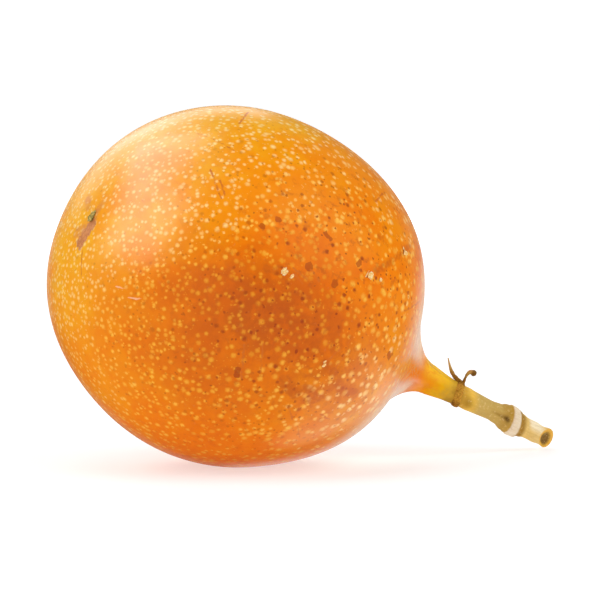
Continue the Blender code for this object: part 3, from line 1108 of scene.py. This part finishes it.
def make_flower_remains():
    parts = (joint_ring(), dried_bit(SPINE, 1.3), dried_bit(CURL, 4.1))
    mesh = mesh_of("dried_flower", *parts)
    points = points_of(mesh)
    store(mesh, "own", points / MM)
    spine_tip = smooth_step(points[:, 0], 0.0498, 0.0470)
    turn = np.arctan2(points[:, 1], points[:, 2] - STALK_LIFT)
    from_knob = turn_gap(turn, KNOB_TURN)
    on_ring = smooth_step(from_knob, 0.25, 0.6) * smooth_step(np.abs(turn), 0.35, 0.9)
    store(mesh, "on_ring", on_ring * smooth_step(points[:, 2], TOP + 0.0001, TOP - 0.0003))
    curl_rise = smooth_step(points[:, 2], TOP + 0.0004, TOP + 0.0024)
    curl_end = smooth_step(points[:, 0], 0.0522, 0.0528)
    on_curl = smooth_step(points[:, 0], 0.0514, 0.0517)
    store(mesh, "paleness", 0.75 * spine_tip + 0.6 * on_curl * curl_rise * (1.0 - curl_end))
    store(mesh, "darkness", 0.7 * on_curl * curl_rise * curl_end)
    show("dried_flower", mesh, remains_material(), "flower_remains")


# ---- the style's stub

STUB_RAISE = (0.0, 0.0, 0.0005)
STUB_SWELL = 1.10  # the ribbed cone's size, next to the solid's plain one
STUB_PROFILE = ((-0.25, 0.80), (0.0, 1.0), (0.25, 0.94), (0.55, 0.70), (0.94, 0.22))
STUB_COLOURS = ((0.18, 0.13, 0.02), (0.62, 0.46, 0.13))


def make_style_stub():
    """The style's dried foot: a ribbed, leaning cone sunk a little into the blossom end."""
    foot = body_point(unit(stub_foot() + np.array(STUB_RAISE)))
    out = unit(foot)
    lean = unit(out * 0.8 + np.array((1.0, 0.0, 1.0)))
    side = unit(np.cross(out, (0.0, 0.0, 1.0)))
    up = np.cross(side, out)
    turn = turns(STUB_AROUND)
    flat = np.cos(turn)[:, None] * side + np.sin(turn)[:, None] * up
    height = STUB_HEIGHT * STUB_SWELL
    rows = []
    for share in np.linspace(STUB_PROFILE[0][0], STUB_PROFILE[-1][0], STUB_ROWS):
        middle = foot + (lean * max(share, 0.0) + out * min(share, 0.0)) * height
        radius = STUB_RADIUS * STUB_SWELL * eased(share, STUB_PROFILE)
        ribs = 1.0 + 0.16 * np.cos(5 * turn + 2.0 * share) + 0.07 * np.cos(11 * turn + 9.0 * share)
        rows.append(middle + flat * (radius * ribs)[:, None])
    tip = foot + lean * height
    root = foot - 0.3 * STUB_HEIGHT * out
    mesh = mesh_of("style_foot", rows_and_faces(np.array(rows), root, tip))
    store(mesh, "own", points_of(mesh) / MM)
    graph = Graph("dry_style")
    own = graph.attribute("own", "Vector")
    fibre = graph.noise(own, 0.22, 3.0, 0.65)
    colour = graph.mix(graph.between(fibre, 0.38, 0.62), *STUB_COLOURS)
    material = graph.finish(colour, 0.6, ((fibre, 0.00010),))
    show("style_foot", mesh, material, "style_stub")


# ---- the studio

CAMERA_RISE = math.radians(3.5)
CAMERA_DISTANCE = 0.600
CAMERA_LENS = 189.5
AIM_RIGHT = 0.0120  # the frame's middle, from the middle of the fruit's body
AIM_DOWN = 0.0024

# Soft lights: azimuth from the camera's side towards its right, rise, width, height, glow
LIGHT_DISTANCE = 1.6
DIFFUSERS = {
    "key": (-66, 40, 1.1, 1.1, 2.7),
    "left": (-96, 10, 1.4, 0.5, 1.5),
    "front": (-10, 10, 1.2, 0.5, 1.6),
    "fill": (66, 34, 1.7, 1.5, 2.2),
    "rim": (-150, 30, 0.8, 0.8, 2.6),
    "back": (174, 32, 2.2, 0.8, 2.2),
    "top": (-50, 76, 0.8, 0.8, 2.8),
}
# The ones that show as gloss, and light nothing else
GLEAMS = {
    "key_gleam": (-67, 37.5, 1.3, 1.2, 8.3),
    "high_gleam": (-120, 58, 1.1, 1.0, 6.6),
    "rim_gleam": (-150, 32, 0.9, 1.0, 1.5),
    "back_gleam": (-172, 28, 0.8, 0.5, 1.8),
    "left_gleam": (-158, 6, 0.8, 0.8, 0.2),
    "right_gleam": (160, -16, 1.1, 0.9, 0.55),
    "low_gleam": (114, -46, 1.5, 1.2, 1.9),
    "backdrop": (165, -8, 2.2, 1.3, 0.25),
}
ROOM_GLOW = 0.06
NEAR_FLOOR_GLOW = 0.55
FAR_FLOOR_GLOW = 1.0
SEEN_ROOM_GLOW = 1.1
FLOOR_COLOUR = (0.55, 0.55, 0.55)
WHITE = (1.0, 1.0, 1.0)


def make_camera():
    camera = new_object("camera", bpy.data.cameras.new("camera"))
    back = Vector((0.0, -math.cos(CAMERA_RISE), math.sin(CAMERA_RISE)))
    up = Vector((0.0, math.sin(CAMERA_RISE), math.cos(CAMERA_RISE)))
    camera.location = CENTRE + back * CAMERA_DISTANCE
    aim = CENTRE + Vector((AIM_RIGHT, 0.0, 0.0)) - up * AIM_DOWN
    camera.rotation_euler = (aim - camera.location).to_track_quat("-Z", "Y").to_euler()
    camera.data.lens = CAMERA_LENS
    camera.data.clip_start = 0.01
    bpy.context.scene.camera = camera


def make_floor():
    """A white floor that grows brighter away from the fruit, so that it meets the white room."""
    half = 40.0
    corners = [(-half, -half, 0), (half, -half, 0), (half, half, 0), (-half, half, 0)]
    mesh = bpy.data.meshes.new("floor")
    mesh.from_pydata(corners, [], [(0, 1, 2, 3)])
    graph = Graph("white_floor")
    at = graph.node("ShaderNodeTexCoord").outputs["Object"]
    distance = graph.vector("LENGTH", at, output=1)
    glow = graph.between(distance, 0.4, 1.6, NEAR_FLOOR_GLOW, FAR_FLOOR_GLOW)
    graph.feed(graph.shader.inputs["Emission Color"], WHITE)
    graph.feed(graph.shader.inputs["Emission Strength"], glow)
    mesh.materials.append(graph.finish(FLOOR_COLOUR, 1.0, (), 0.0))
    floor = new_object("floor", mesh)
    floor.visible_glossy = False


def make_softbox(name, azimuth, rise, width, height, glow, gleams):
    """A soft light aimed at the fruit, as bright in itself as glow times a white surface.

    It either shows in gloss or lights the colours beneath.
    """
    azimuth = math.radians(azimuth)
    rise = math.radians(rise)
    level = math.cos(rise)
    out = Vector((math.sin(azimuth) * level, -math.cos(azimuth) * level, math.sin(rise)))
    data = bpy.data.lights.new(name, "AREA")
    data.shape = "RECTANGLE"
    data.size = width
    data.size_y = height
    data.energy = glow * math.pi * width * height
    lamp = new_object(name, data)
    lamp.visible_glossy = gleams
    lamp.visible_diffuse = not gleams
    lamp.location = CENTRE + out * LIGHT_DISTANCE
    lamp.rotation_euler = out.to_track_quat("Z", "Y").to_euler()


def make_room():
    """White where the camera sees past the floor, and nearly dark as a light."""
    world = bpy.data.worlds.new("white_room")
    world.use_nodes = True
    tree = world.node_tree
    background = tree.nodes["Background"]
    background.inputs["Color"].default_value = (*WHITE, 1.0)
    seen = tree.nodes.new("ShaderNodeLightPath").outputs["Is Camera Ray"]
    strength = tree.nodes.new("ShaderNodeMapRange")
    strength.inputs["To Min"].default_value = ROOM_GLOW
    strength.inputs["To Max"].default_value = SEEN_ROOM_GLOW
    tree.links.new(seen, strength.inputs["Value"])
    tree.links.new(strength.outputs[0], background.inputs["Strength"])
    bpy.context.scene.world = world


def make_studio():
    make_camera()
    make_floor()
    make_room()
    for lights, gleams in ((DIFFUSERS, False), (GLEAMS, True)):
        for name, settings in lights.items():
            make_softbox(name, *settings, gleams)
    bpy.context.scene.view_settings.view_transform = "Standard"


make_studio()
make_rind()
make_flakes()
make_stem()
make_flower_remains()
make_style_stub()
